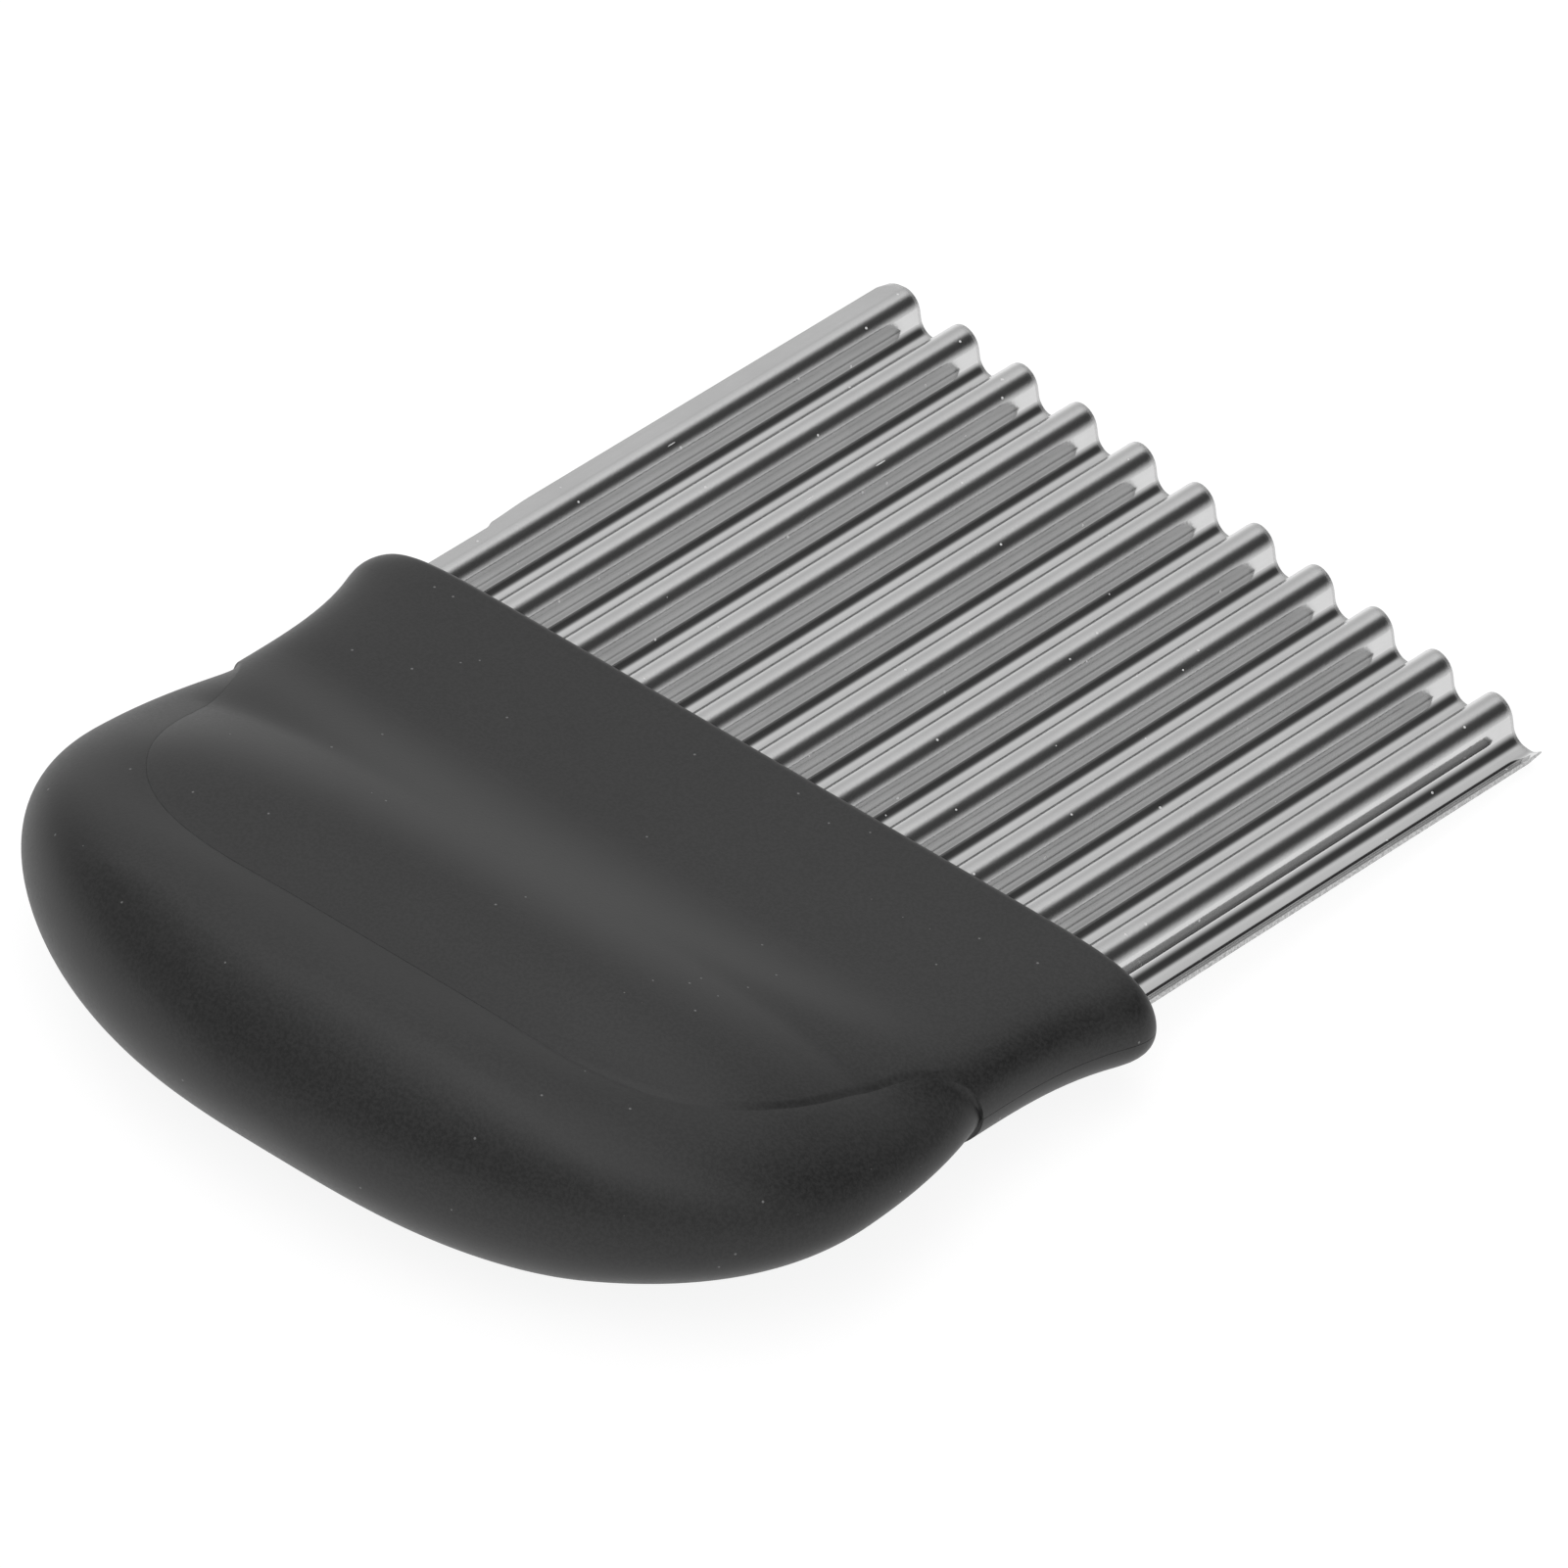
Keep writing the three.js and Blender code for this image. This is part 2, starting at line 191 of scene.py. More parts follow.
def addMapping(owner, place, **changes):
    return addNode(owner, "ShaderNodeMapping", {"Vector": place, **changes}).outputs["Vector"]


def addNoise(owner, place, scale, detail, roughness=0.5):
    values = {"Vector": place, "Scale": scale, "Detail": detail, "Roughness": roughness}
    return addNode(owner, "ShaderNodeTexNoise", values).outputs["Fac"]


def grey(level):
    return (level, level, level, 1)


def addRamp(owner, factor, stops):
    ramp = addNode(owner, "ShaderNodeValToRGB", {"Fac": factor})
    while len(ramp.color_ramp.elements) < len(stops):
        ramp.color_ramp.elements.new(1)
    for element, (position, level) in zip(ramp.color_ramp.elements, stops):
        element.position = position
        element.color = grey(level)
    return ramp.outputs["Color"]


def mixColours(owner, factor, first, second, blend="MIX"):
    values = {0: factor, 6: first, 7: second}    # a Mix node's factor and its two colour sockets
    return addNode(owner, "ShaderNodeMix", values, data_type="RGBA", blend_type=blend).outputs[2]


def addSpots(owner, place, spots):    # sparse marks, one at most in a cell
    stretched = addMapping(owner, place, **spots["stretch"])
    values = {"Vector": stretched, "Scale": spots["scale"]}
    cells = addNode(owner, "ShaderNodeTexVoronoi", values).outputs
    chance = addNode(owner, "ShaderNodeSeparateColor", {"Color": cells["Color"]}).outputs["Red"]
    near = addMath(owner, "LESS_THAN", cells["Distance"], spots["size"])
    chosen = addMath(owner, "LESS_THAN", chance, spots["share"])
    return addMath(owner, "MULTIPLY", near, chosen)


def addBump(owner, shader, height, bump):
    values = {"Height": height, "Strength": bump["strength"], "Distance": bump["distance"]}
    relief = addNode(owner, "ShaderNodeBump", values).outputs["Normal"]
    joinTo(owner, relief, shader.inputs["Normal"])


# corrugated blade
blade = {
    "leftEdge": -42.25,
    "rightEdge": 41.6,
    "reach": 58.6,
    "slant": 6.1,
    "crown": 0.3,
    "sheet": 0.45,
    "pitch": 7.6,
    "waveHeight": 3.37,
    "crestFlat": 0,
    "valleyFlat": 0.5,
    "flank": 77,
    "leftLip": 10,
    "rightLip": 36,
    "firstCrest": -40,
    "bends": 22,
    "tangDepth": 19,
    "shoulder": 10.5,
    "shoulderReach": 0.65,
    "shoulderStep": 0.55,    # how much of the shoulder is the step, the rest being the run
    "stepSpan": (-0.8, 0.3),
    "runSpan": (-0.3, 5.5),
    "cornerRound": 1.3,
    "topGrind": 0.4,
    "topDrop": 0.06,
    "lowerGrind": 1.6,
    "edge": 0.12,
    "bow": 0.33,
    "tipBow": 0.15,
    "bendSteps": 7,
    "lipSteps": 5,
    "tangRows": (-8, 2, 6),
    "stepRows": (-8, 5),    # from and up to, counted from the shoulder
    "stepSpacing": 0.15,
    "runRows": (1.2, 2, 2.8, 3.6, 4.4, 5.2, 6),
    "edgeRows": (36.5, 31, 26, 20, 14, 9, 5, 3, 1.6, 1.2, 0.8, 0.4, 0.2, 0),
    "sideFacing": 0.98,    # faces turned sideways by more than this, and near an edge, are sheared
    "leftSide": 1,
    "rightSide": 0.2,
    "grindSpare": 0.02,
}


def waveColumns():    # the sheet's upper face, bend by bend, with how far it leans there
    flank = radians(blade["flank"])
    half = blade["pitch"] / 2
    bendRun = half - (blade["crestFlat"] + blade["valleyFlat"]) / 2
    middleRadius = (bendRun * tan(flank) - blade["waveHeight"]) / (2 / cos(flank) - 2)
    steps = blade["bendSteps"]
    columns = []
    for bend in range(blade["bends"]):
        side = 1 if bend % 2 == 0 else -1    # crests and valleys in turn
        radius = middleRadius + side * blade["sheet"] / 2
        flat = blade["crestFlat"] if side > 0 else blade["valleyFlat"]
        start = -radians(blade["leftLip"]) if bend == 0 else -flank
        end = radians(blade["rightLip"]) if bend == blade["bends"] - 1 else flank
        firstAfter = 0 if flat else 1    # with no flat, the two halves share a column
        turns = [(mix(start, 0, step / steps), -flat / 2) for step in range(steps + 1)]
        turns += [(mix(0, end, step / steps), flat / 2) for step in range(firstAfter, steps + 1)]
        middle = blade["firstCrest"] + bend * half
        for turn, shift in turns:
            swing = blade["waveHeight"] / 2 - radius + radius * cos(turn)
            height = side * swing + blade["sheet"] / 2
            columns.append((middle + shift + radius * sin(turn), height, side * turn))
    return columns


wave = waveColumns()
bladeColumns = len(wave) + 2 * blade["lipSteps"]


def acrossBlade(x):    # 0 in the middle, 1 at either edge
    return abs(2 * x / (blade["rightEdge"] - blade["leftEdge"]))


# columns past the first and last bend are the straight lips
def waveAt(column, offset, leftEnd, rightEnd):
    spare = column - blade["lipSteps"]
    x, height, leaning = wave[min(len(wave) - 1, max(0, spare))]
    x += offset * sin(leaning)
    height += offset * cos(leaning)
    if not 0 <= spare < len(wave):
        beyond = -spare if spare < 0 else spare - len(wave) + 1
        lipX = mix(x, leftEnd if spare < 0 else rightEnd, beyond / blade["lipSteps"])
        slope = blade["leftLip"] if spare < 0 else blade["rightLip"]
        x, height = lipX, height + (lipX - x) * tan(radians(slope))
    return x, height + blade["bow"] * (1 - acrossBlade(x) ** 2)


def edgeReach(x):
    return blade["reach"] - x * tan(radians(blade["slant"])) - blade["crown"] * acrossBlade(x) ** 2


# rows from the tang past the shoulder by reach, and from there on by distance to the edge
bladeRows = [("reach", reach) for reach in (-blade["tangDepth"], *blade["tangRows"])]
for step in range(*blade["stepRows"]):
    bladeRows.append(("reach", blade["shoulder"] + blade["stepSpacing"] * step))
bladeRows += [("reach", blade["shoulder"] + beyond) for beyond in blade["runRows"]]
bladeRows += [("grind", short) for short in blade["edgeRows"]]


def shoulderInset(reach):    # the left side widens by a short step and a long easy run
    stepped, eased = (
        ease(reach, blade["shoulder"] + start, blade["shoulder"] + end)
        for start, end in (blade["stepSpan"], blade["runSpan"])
    )
    return blade["shoulderReach"] * (1 - mix(eased, stepped, blade["shoulderStep"]))


def bladeSkin(column, row, upper):
    kind, value = bladeRows[row]
    leftEnd = blade["leftEdge"]
    short = value
    if kind == "reach":
        leftEnd += shoulderInset(value)
        short = blade["reach"]    # far from the grind
    offset = -blade["topDrop"] * max(0, 1 - short / blade["topGrind"])
    if not upper:
        rise = blade["sheet"] - blade["topDrop"] - blade["edge"]
        offset = rise * max(0, 1 - short / blade["lowerGrind"]) - blade["sheet"]
    x, height = waveAt(column, offset, leftEnd, blade["rightEdge"])
    reach = value
    if kind == "grind":
        reach = edgeReach(x) - value - roundedOff(blade["cornerRound"], x - blade["leftEdge"])
    tipRise = blade["tipBow"] * (1 - acrossBlade(x) ** 2)
    return x, -reach, height + tipRise * ease(reach, blade["shoulder"], blade["reach"])


# bright in the valleys, duller and grainy on the crests, with draw lines, dust and short hairs
rolledSteel = {
    "drawStretch": (1, 0.05, 1),
    "drawNoise": (2600, 4, 0.65),    # scale, detail and roughness
    "grainNoise": (3200, 2, 0.7),
    "patchNoise": (120, 4, 0.6),
    "crestSpan": (-0.0006, 0.0012),
    "tones": ((0.3, 0.62), (0.7, 0.67)),
    "drawTones": ((0.3, 0.98), (0.65, 1)),
    "dust": {"scale": 400, "stretch": {}, "size": 0.05, "share": 0.9},
    "hairs": {
        "scale": 600,
        "stretch": {"Rotation": (0, 0, 0.7), "Scale": (1, 0.08, 0.6)},
        "size": 0.03,
        "share": 0.8,
    },
    "markTone": 0.8,
    "roughs": (0.07, 0.17),
    "streaks": 0.09,
    "bump": {"strength": 0.8, "distance": 0.000009},
}


def steelMaterial():
    finish = rolledSteel
    steel, shader = newMaterial("rolledSteel")
    # object coordinates, turned and moved to the cutter's own frame
    moved = {"Location": toCutter.to_translation(), "Rotation": toCutter.to_euler()}
    place = addMapping(steel, objectPlace(steel), **moved)
    along = addMapping(steel, place, Scale=finish["drawStretch"])
    drawLines = addNoise(steel, along, *finish["drawNoise"])
    grain = addNoise(steel, place, *finish["grainNoise"])
    patches = addNoise(steel, place, *finish["patchNoise"])
    height = addNode(steel, "ShaderNodeSeparateXYZ", {"Vector": place}).outputs["Z"]
    lowest, highest = finish["crestSpan"]
    span = {"Value": height, "From Min": lowest, "From Max": highest}
    crest = addNode(steel, "ShaderNodeMapRange", span).outputs[0]
    tone = addRamp(steel, patches, finish["tones"])
    tone = mixColours(steel, 1, tone, addRamp(steel, drawLines, finish["drawTones"]), "MULTIPLY")
    dust = addSpots(steel, place, finish["dust"])
    hairs = addSpots(steel, place, finish["hairs"])
    marks = addMath(steel, "MAXIMUM", dust, hairs)
    tone = mixColours(steel, marks, tone, grey(finish["markTone"]))
    joinTo(steel, tone, shader.inputs["Base Color"])
    joinTo(steel, addMath(steel, "SUBTRACT", 1, marks), shader.inputs["Metallic"])
    bright, dull = finish["roughs"]
    span = {"Value": crest, "To Min": bright, "To Max": dull}
    joinTo(steel, addNode(steel, "ShaderNodeMapRange", span).outputs[0], shader.inputs["Roughness"])
    streaks = addMath(steel, "MULTIPLY", drawLines, finish["streaks"])
    addBump(steel, shader, addMath(steel, "MULTIPLY_ADD", grain, crest, streaks), finish["bump"])
    return steel


# bare metal where the sheet was ground to an edge, and where it was sheared off at the sides
groundBevel = {
    "noise": (7000, 2, 0.7),
    "tones": ((0.3, 0.5), (0.7, 0.62)),
    "roughs": ((0.3, 0.24), (0.7, 0.36)),
    "bump": {"strength": 0.1, "distance": 0.00003},
}
shearedSide = {
    "noise": (4200, 4, 0.7),
    "tones": ((0.35, 0.3), (0.6, 0.64)),
    "roughs": ((0.3, 0.35), (0.7, 0.55)),
    "bump": {"strength": 0.4, "distance": 0.00005},
}


def cutMaterial(name, finish):
    cut, shader = newMaterial(name)
    grit = addNoise(cut, objectPlace(cut), *finish["noise"])
    shader.inputs["Metallic"].default_value = 1
    joinTo(cut, addRamp(cut, grit, finish["tones"]), shader.inputs["Base Color"])
    joinTo(cut, addRamp(cut, grit, finish["roughs"]), shader.inputs["Roughness"])
    addBump(cut, shader, grit, finish["bump"])
    return cut


def addBlade():
    piece = closedSheet(
        "waved_blade", bladeColumns, len(bladeRows),
        lambda column, row: bladeSkin(column, row, True),
        lambda column, row: bladeSkin(column, row, False),
    )
    ground = cutMaterial("groundBevel", groundBevel)
    sheared = cutMaterial("shearedSide", shearedSide)
    settle(piece, "corrugated_blade", "steel", steelMaterial(), ground, sheared)
    straighten = lean.to_3x3().inverted()
    leftSide = blade["leftEdge"] + blade["leftSide"]
    rightSide = blade["rightEdge"] - blade["rightSide"]
    for face in piece.data.polygons:
        spot = toCutter @ face.center / mm
        outward = straighten @ face.normal
        grind = blade["topGrind"] if outward.z > 0 else blade["lowerGrind"]
        if abs(outward.x) > blade["sideFacing"] and not leftSide < spot.x < rightSide:
            face.material_index = 2    # sheared
        elif edgeReach(spot.x) - spot.y < grind - blade["grindSpare"]:
            face.material_index = 1    # ground


addBlade()

# moulded core: the collar, and the tongue that the crease bounds
core = {
    "collarWidth": 95.2,
    "neckWidth": 86.8,
    "collarDepth": 20.7,
    "flare": 3.1,
    "corner": 4.2,
    "collarThickness": 9.5,
    "frontRound": 1,
    "flatDepth": 17,
    "ridgeDepth": 39,
    "ridgeThickness": 19,
    "tongueDepth": 48.1,
    "endThickness": 17.2,
    "collarPower": 14,
    "tonguePower": 3.5,
    "crownDepth": 30,
    "neckBend": (39, 22),
    "tongueSide": (37.6, 32),
    "tongueCorner": (36.2, 48.1),
    "tongueRear": (16, 48.1),
    "lip": 0.03,
    "notchRound": 0.14,
    "dent": 0.11,
    "dentRun": 0.85,
    "dentStart": (12, 26),
    "dentEnd": (40, 42.5),
    "parting": 0.02,
    "thinnest": 0.02,
    "slotGap": 0.15,
    "slotEdge": 0.01,
    "sideColumns": 16,
    "creaseSteps": 26,
    "fineSteps": 400,
    "notchSteps": 6,
    "behindSlot": 19.8,
    "collarRows": 11,
    "collarStart": 18.4,
    "collarStep": 1.3,
    "cornerRows": (4.2, 3.2, 2.5, 1.9, 1.4),
    "frontSteps": 8,
    "grainNoise": (3200, 3, 0.65),
    "tones": ((0.3, 0.0175), (0.7, 0.022)),
    "roughs": ((0.3, 0.38), (0.7, 0.48)),
}


def collarHalfWidth(depth):
    flare = max(0, 1 - depth / core["collarDepth"]) ** core["flare"]
    width = mix(core["neckWidth"], core["collarWidth"], flare)
    return width / 2 - roundedOff(core["corner"], depth)


def coreHeight(x, depth):
    toRidge = ease(depth, core["flatDepth"], core["ridgeDepth"])
    toEnd = ease(depth, core["ridgeDepth"], core["tongueDepth"])
    toCrown = ease(depth, core["flatDepth"], core["crownDepth"])
    rise = mix(core["collarThickness"], core["ridgeThickness"], toRidge)
    thickness = mix(rise, core["endThickness"], toEnd)
    power = mix(core["collarPower"], core["tonguePower"], toCrown)
    across = min(1, abs(x) / collarHalfWidth(depth))
    return (thickness / 2 - roundedOff(core["frontRound"], depth)) * sqrt(1 - across ** power)


def creasePath(steps):    # from the notch to the rear, on one side
    notch = (core["neckWidth"] / 2 - core["notchRound"], core["collarDepth"])
    shares = [step / steps for step in range(steps + 1)]
    neck = (notch, core["neckBend"], core["tongueSide"])
    corner = (core["tongueSide"], core["tongueCorner"], core["tongueRear"])
    path = [quadratic(*neck, share) for share in shares[:-1]]
    return path + [quadratic(*corner, share) for share in shares]


crease = creasePath(core["creaseSteps"])
finePath = creasePath(core["fineSteps"])
creaseTree = KDTree(len(finePath))
for number, (creaseX, creaseDepth) in enumerate(finePath):
    creaseTree.insert((creaseX, creaseDepth, 0), number)
creaseTree.balance()


def creaseDistance(x, depth):
    if abs(x) < core["tongueRear"][0]:
        return abs(core["tongueDepth"] - depth)
    return creaseTree.find((abs(x), depth, 0))[2]


# the skin sinks a little to the crease on the right, short of the notch
def creaseDent(x, distance, deepest):
    along = ease(x, *core["dentStart"]) * (1 - ease(x, *core["dentEnd"]))
    return deepest * along * (1 - ease(distance, 0, core["dentRun"]))


# rows from the crease at the rear to the front face
slotDepth = blade["tangDepth"] + core["slotGap"]
slotSide = blade["rightEdge"] + core["slotGap"]
creaseWidths = [x for x, depth in reversed(crease)]
coreRows = [depth for x, depth in reversed(crease)]
for step in range(1, core["notchSteps"] + 1):
    coreRows.append(core["collarDepth"] - roundStep(core["notchRound"], step, core["notchSteps"]))
coreRows += [core["behindSlot"], slotDepth + core["slotEdge"], slotDepth - core["slotEdge"]]
coreRows += [core["collarStart"] - core["collarStep"] * step for step in range(core["collarRows"])]
coreRows += core["cornerRows"]
for step in range(core["frontSteps"], -1, -1):
    coreRows.append(roundStep(core["frontRound"], step, core["frontSteps"]))
coreColumns = bladeColumns + 2 * core["sideColumns"]


# the middle columns follow the blade's waves, and the others fill up the sides
def corePlan(column, row, offset=0):
    depth = coreRows[row]
    if row < len(creaseWidths):
        halfWidth = creaseWidths[row]
    else:
        toNotch = core["collarDepth"] - depth
        halfWidth = collarHalfWidth(depth) - roundedOff(core["notchRound"], toNotch)
    narrowing = min(1, halfWidth / (core["neckWidth"] / 2))
    waveColumn = column - core["sideColumns"]
    if 0 <= waveColumn < bladeColumns:
        x, height = waveAt(waveColumn, offset, -slotSide, slotSide)
        return x * narrowing, depth, height
    sideward = -1 if waveColumn < 0 else 1
    outward = -waveColumn - 1 if waveColumn < 0 else waveColumn - bladeColumns
    spread = sin(pi / 2 * outward / (core["sideColumns"] - 1))
    return sideward * mix((slotSide + core["slotEdge"]) * narrowing, halfWidth, spread), depth, None


def coreSkin(column, row):
    x, depth = corePlan(column, row)[:2]
    height = coreHeight(x, depth)
    if row < len(creaseWidths):
        distance = creaseDistance(x, depth)
        height -= roundedOff(core["lip"], distance) + creaseDent(x, distance, core["dent"])
    return x, depth, max(height, core["parting"] + core["thinnest"])


def seatSkin(column, row, offset, parting):    # waved over the tang, flat beside and behind it
    x, depth, slotHeight = corePlan(column, row, offset)
    return x, depth, parting if slotHeight is None or depth > slotDepth else slotHeight


def turnedOver(point):
    return point[0], point[1], -point[2]


# matte skin of the core and the grip: a fine grain, faint clouds and some dust
mouldedSkin = {
    "grainTones": ((0.4, 0.5), (0.6, 1)),
    "cloudNoise": (45, 4),
    "dust": {"scale": 400, "stretch": {}, "size": 0.045, "share": 0.6},
    "dustTone": 0.16,
    "gloss": 0.45,
    "bump": {"strength": 0.3, "distance": 0.000035},
}


def plasticMaterial(name, part):
    finish = mouldedSkin
    plastic, shader = newMaterial(name)
    place = objectPlace(plastic)
    grain = addNoise(plastic, place, *part["grainNoise"])
    clouds = addNoise(plastic, place, *finish["cloudNoise"])
    tone = addRamp(plastic, clouds, part["tones"])
    tone = mixColours(plastic, 1, tone, addRamp(plastic, grain, finish["grainTones"]), "MULTIPLY")
    dust = addSpots(plastic, place, finish["dust"])
    tone = mixColours(plastic, dust, tone, grey(finish["dustTone"]))
    joinTo(plastic, tone, shader.inputs["Base Color"])
    joinTo(plastic, addRamp(plastic, grain, part["roughs"]), shader.inputs["Roughness"])
    shader.inputs["Specular IOR Level"].default_value = finish["gloss"]
    addBump(plastic, shader, grain, finish["bump"])
    return plastic


def addCore():
    upperGap, lowerGap = core["slotGap"], -blade["sheet"] - core["slotGap"]
    skin = plasticMaterial("collarPlastic", core)
    upper = closedSheet(
        "collar_upper", coreColumns, len(coreRows),
        coreSkin,
        lambda column, row: seatSkin(column, row, upperGap, core["parting"]),
    )
    settle(upper, "handle_upper_half", "hard_plastic", skin)
    lower = closedSheet(
        "collar_lower", coreColumns, len(coreRows),
        lambda column, row: seatSkin(column, row, lowerGap, -core["parting"]),
        lambda column, row: turnedOver(coreSkin(column, row)),
    )
    settle(lower, "handle_lower_half", "hard_plastic", skin)


addCore()

# soft grip round the tongue
grip = {
    "step": 0.3,
    "width": 91.1,
    "widestDepth": 36.2,
    "swell": 2.2,
    "frontThickness": 10.9,
    "thickness": 19,
    "thickestDepth": 55,
    "rearDepth": 64,
    "sidePower": 4.9,
    "endPower": 3.1,
    "planPower": 2.14,
    "endRound": 1.75,
    "gap": 0.004,
    "setBack": 0.012,
    "wallDrop": 0.1,
    "lip": 0.03,
    "dent": 0.04,
    "blendRun": 8,
    "middleDepth": 33,
    "sweep": 105.82,
    "farthest": 60,
    "shortest": 0.05,
    "rows": 301,
    "rearSteps": 20,
    "lipSteps": 6,
    "sideSteps": 34,
    "halvings": 40,
    "grainNoise": (3000, 3, 0.65),
    "tones": ((0.3, 0.0175), (0.7, 0.023)),
    "roughs": ((0.3, 0.4), (0.7, 0.5)),
}


def closing(share, power):
    return (1 - share ** power) ** (1 / power)


def gripHalfWidth(depth):
    swell = 1 - (1 - shareOf(depth, core["collarDepth"], grip["widestDepth"])) ** grip["swell"]
    width = mix(core["neckWidth"] - 2 * grip["step"], grip["width"], swell)
    toRear = shareOf(depth, grip["widestDepth"], grip["rearDepth"])
    return width / 2 * closing(toRear, grip["planPower"])


def gripHeight(x, depth):
    rise = ease(depth, core["collarDepth"], grip["thickestDepth"])
    toRear = shareOf(depth, grip["thickestDepth"], grip["rearDepth"])
    toEnd = ease(depth, grip["widestDepth"], grip["rearDepth"])
    thickness = mix(grip["frontThickness"], grip["thickness"], rise)
    thickness *= closing(toRear, grip["endRound"])
    power = mix(grip["sidePower"], grip["endPower"], toEnd)
    across = min(1, abs(x) / max(gripHalfWidth(depth), 1e-6))    # the width is 0 at the rear
    return thickness / 2 * sqrt(1 - across ** power)


def ray(turn, distance):    # turn 0 points to the rear
    return distance * sin(turn), grip["middleDepth"] + distance * cos(turn)


rearWidths = [core["tongueRear"][0] * step / grip["rearSteps"] for step in range(grip["rearSteps"])]
creaseTurns = []
for creaseX, creaseDepth in [(x, core["tongueDepth"]) for x in rearWidths] + finePath[::-1]:
    behind = creaseDepth - grip["middleDepth"]
    creaseTurns.append((atan2(creaseX, behind), hypot(creaseX, behind)))
creaseTurns.sort()


def creaseReach(turn):
    after = min(len(creaseTurns) - 1, max(1, bisect_left(creaseTurns, (abs(turn), 0))))
    (lowTurn, low), (highTurn, high) = creaseTurns[after - 1], creaseTurns[after]
    return mix(low, high, shareOf(abs(turn), lowTurn, highTurn + 1e-9))    # two turns may be equal


def outlineReach(turn):
    near, far = creaseReach(turn), grip["farthest"]
    for halving in range(grip["halvings"]):
        middle = (near + far) / 2
        x, depth = ray(turn, middle)
        if abs(x) < gripHalfWidth(depth):
            near = middle
        else:
            far = middle
    return near


def gripRow(row):
    turn = radians(grip["sweep"]) * sin(pi / 2 * (2 * row / (grip["rows"] - 1) - 1))
    start = creaseReach(turn) + grip["gap"]
    return turn, start, max(start + grip["shortest"], outlineReach(turn))


gripRows = [gripRow(row) for row in range(grip["rows"])]
gripColumns = 2 * (grip["lipSteps"] + grip["sideSteps"]) + 1


def gripSkin(column, row):    # from the upper lip over the side to the lower lip
    turn, start, end = gripRows[row]
    half = gripColumns // 2
    step = half - abs(column - half)
    lip = min(grip["lip"], (end - start) / 3)    # a third of a short row at most
    if step < grip["lipSteps"]:
        distance = roundStep(lip, step, grip["lipSteps"])
    else:
        outward = sin(pi / 2 * (step - grip["lipSteps"]) / grip["sideSteps"])
        distance = mix(lip, end - start, outward)
    x, depth = ray(turn, start + distance)
    edgeX, edgeDepth = ray(turn, start - grip["gap"])
    blend = 1 - shareOf(distance, 0, min(grip["blendRun"], end - start))
    flush = coreHeight(edgeX, edgeDepth) - gripHeight(edgeX, edgeDepth)
    height = gripHeight(x, depth) if step < half else 0
    height = height + flush * blend ** 2 - roundedOff(lip, distance)
    height = max(0, height - creaseDent(edgeX, distance, grip["dent"]))
    return x, depth, height if column <= half else -height


def gripWall(column, row):    # the inner wall that stands against the tongue
    turn, start = gripRows[row][:2]
    x, depth = ray(turn, start + grip["setBack"])
    top = gripSkin(0, row)[2] - grip["wallDrop"]
    return x, depth, mix(top, -top, column / (gripColumns - 1))


def addGrip():
    piece = closedSheet("soft_grip", gripColumns, grip["rows"], gripSkin, gripWall)
    settle(piece, "palm_grip", "soft_plastic", plasticMaterial("gripRubber", grip))


addGrip()

# stage and light
stage = {
    "floorSize": 12,
    "floorDrop": 0.00005,
    "floorRoughness": 0.9,
    "floorTone": 0.8,
    "floorSeen": 0.2,
    "floorGlow": 0.88,
    "darkSide": (0.429, 0.57, 0.701),
    "darkTones": (
        (0.25, 0.93), (0.42, 0.87), (0.51, 0.83), (0.581, 0.86), (0.743, 0.84), (0.81, 0.75),
        (0.871, 0.53), (0.915, 0.27), (0.945, 0.135), (0.965, 0.08), (0.985, 0.06),
    ),
    "dimSide": (-0.7, -0.71, 0),
    "dimTones": ((0.3, 1), (0.34, 0.93), (0.425, 0.6), (0.52, 0.5), (0.7, 0.52)),
    "lowTones": (
        (0.5, 0.43), (0.55, 0.42), (0.6, 0.36), (0.66, 0.33), (0.72, 0.34), (0.82, 0.41),
        (0.85, 0.45), (0.88, 0.6), (0.92, 0.8), (0.96, 0.93), (1, 1),
    ),
    "skyTone": 2.2,
}


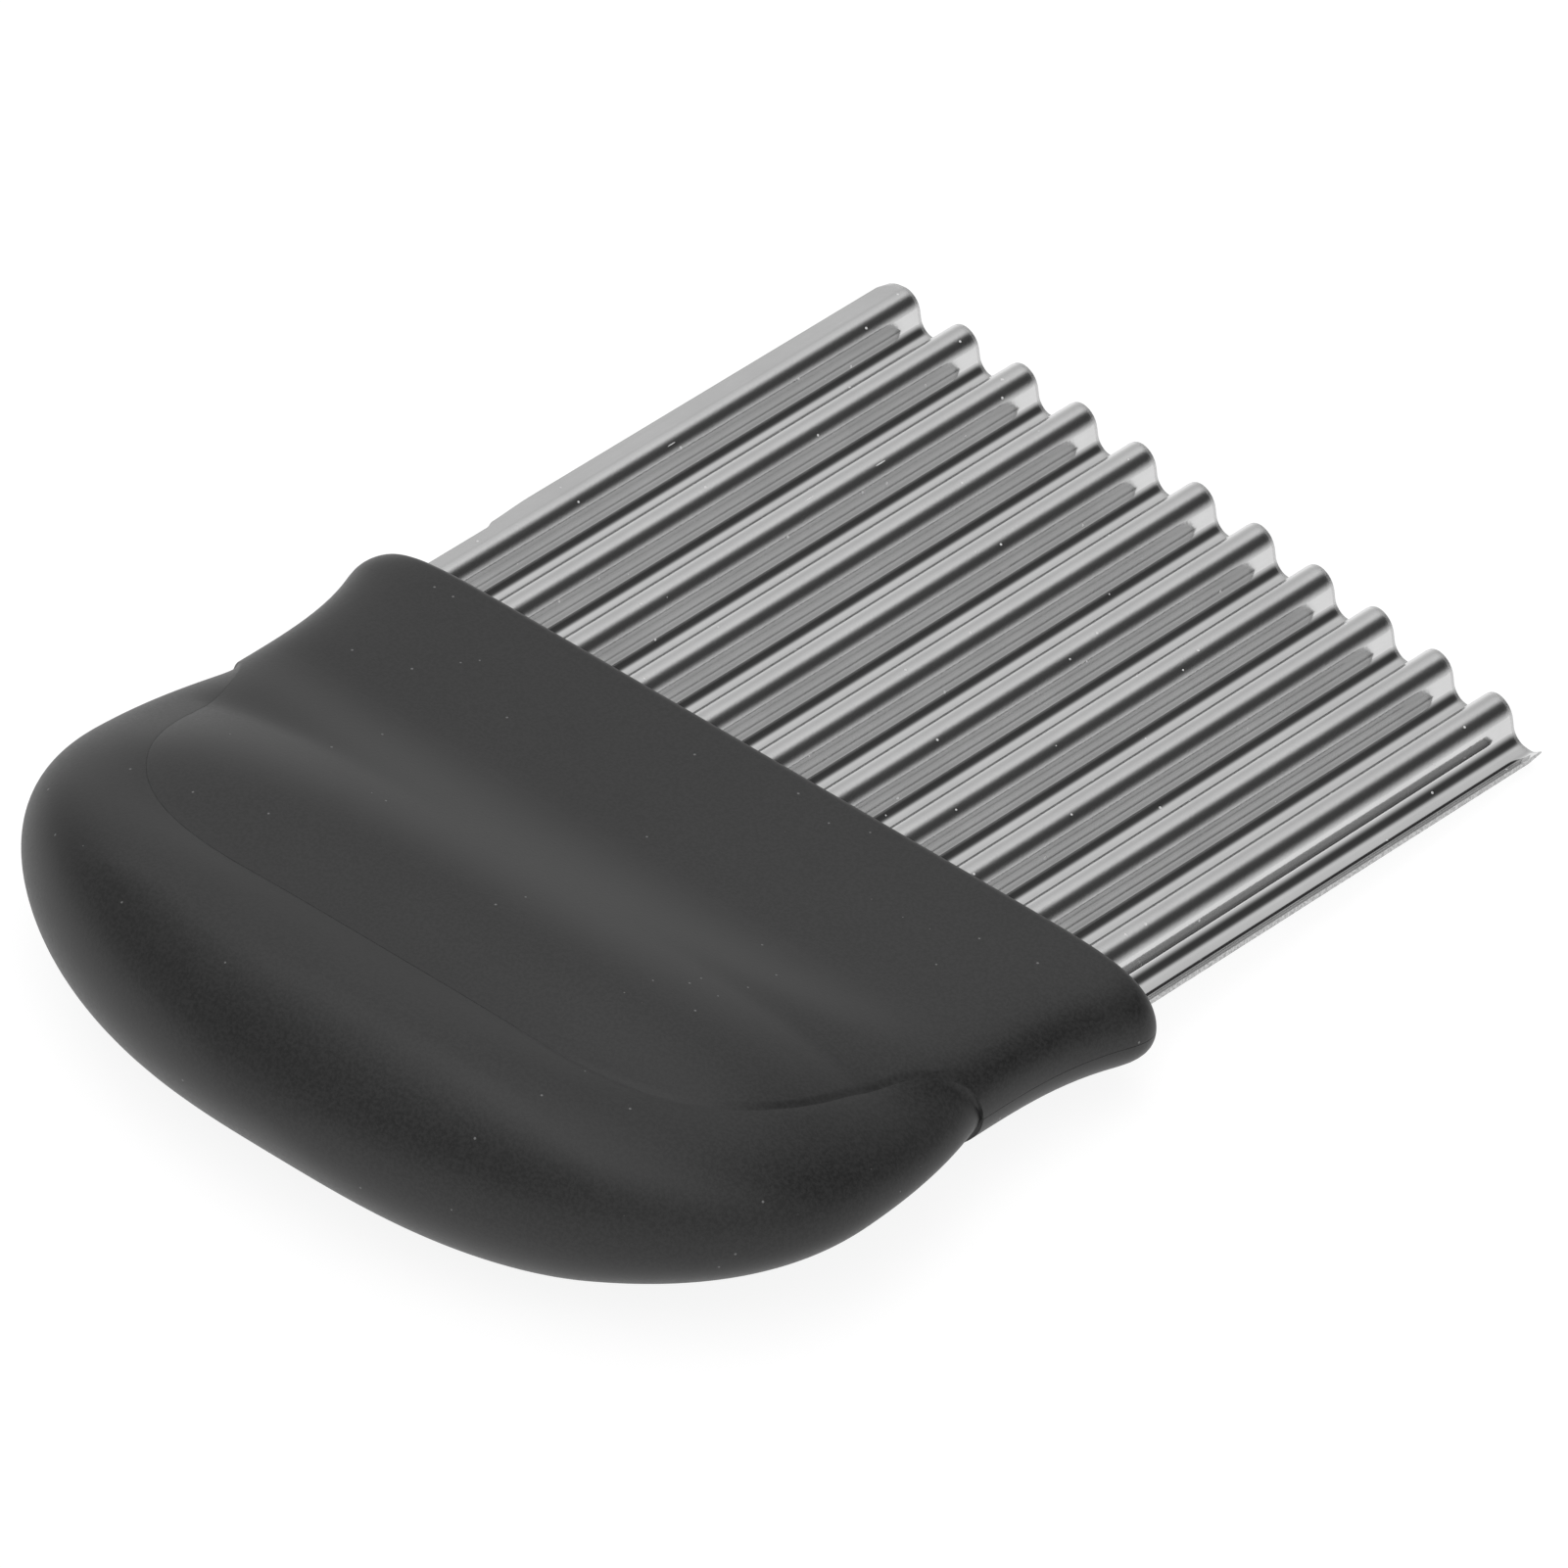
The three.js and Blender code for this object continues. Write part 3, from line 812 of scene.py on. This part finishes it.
def addFloor():
    bpy.ops.object.select_all(action="DESELECT")
    bpy.ops.mesh.primitive_plane_add(size=stage["floorSize"], location=(0, 0, -stage["floorDrop"]))
    floor = bpy.context.object
    floor.name = "floor"
    material, shader = newMaterial("paleFloor")
    shader.inputs["Roughness"].default_value = stage["floorRoughness"]
    shader.inputs["Specular IOR Level"].default_value = 0
    shader.inputs["Emission Color"].default_value = grey(1)
    # the floor looks white, to the camera and in the steel, and keeps the cutter's shadow
    rays = addNode(material, "ShaderNodeLightPath").outputs
    seen = addMath(material, "MAXIMUM", rays["Is Camera Ray"], rays["Is Glossy Ray"])
    seen = addMath(material, "MAXIMUM", seen, rays["Is Transmission Ray"])
    tone = mixColours(material, seen, grey(stage["floorTone"]), grey(stage["floorSeen"]))
    glow = addMath(material, "MULTIPLY", seen, stage["floorGlow"])
    joinTo(material, tone, shader.inputs["Base Color"])
    joinTo(material, glow, shader.inputs["Emission Strength"])
    floor.data.materials.append(material)


def towards(sky, direction, side, stops):    # tones by how near the sky is to one side of the room
    values = {0: direction, 1: Vector(side).normalized()}
    nearness = addNode(sky, "ShaderNodeVectorMath", values, operation="DOT_PRODUCT")
    return addRamp(sky, nearness.outputs["Value"], stops)


def addSky():    # brightest overhead, dark to the front right, dimmer to the rear left
    sky = bpy.data.worlds.new("studioSky")
    sky.use_nodes = True
    scene.world = sky
    direction = addNode(sky, "ShaderNodeTexCoord").outputs["Generated"]
    upward = addNode(sky, "ShaderNodeSeparateXYZ", {"Vector": direction}).outputs["Z"]
    height = addMath(sky, "MULTIPLY_ADD", upward, 0.5, 0.5)    # from 0 below to 1 overhead
    low = addRamp(sky, height, stage["lowTones"])
    dark = towards(sky, direction, stage["darkSide"], stage["darkTones"])
    dim = towards(sky, direction, stage["dimSide"], stage["dimTones"])
    tone = mixColours(sky, 1, mixColours(sky, 1, low, dark, "MULTIPLY"), dim, "MULTIPLY")
    background = sky.node_tree.nodes["Background"]
    joinTo(sky, tone, background.inputs["Color"])
    background.inputs["Strength"].default_value = stage["skyTone"]


addFloor()
addSky()
print("stage set")
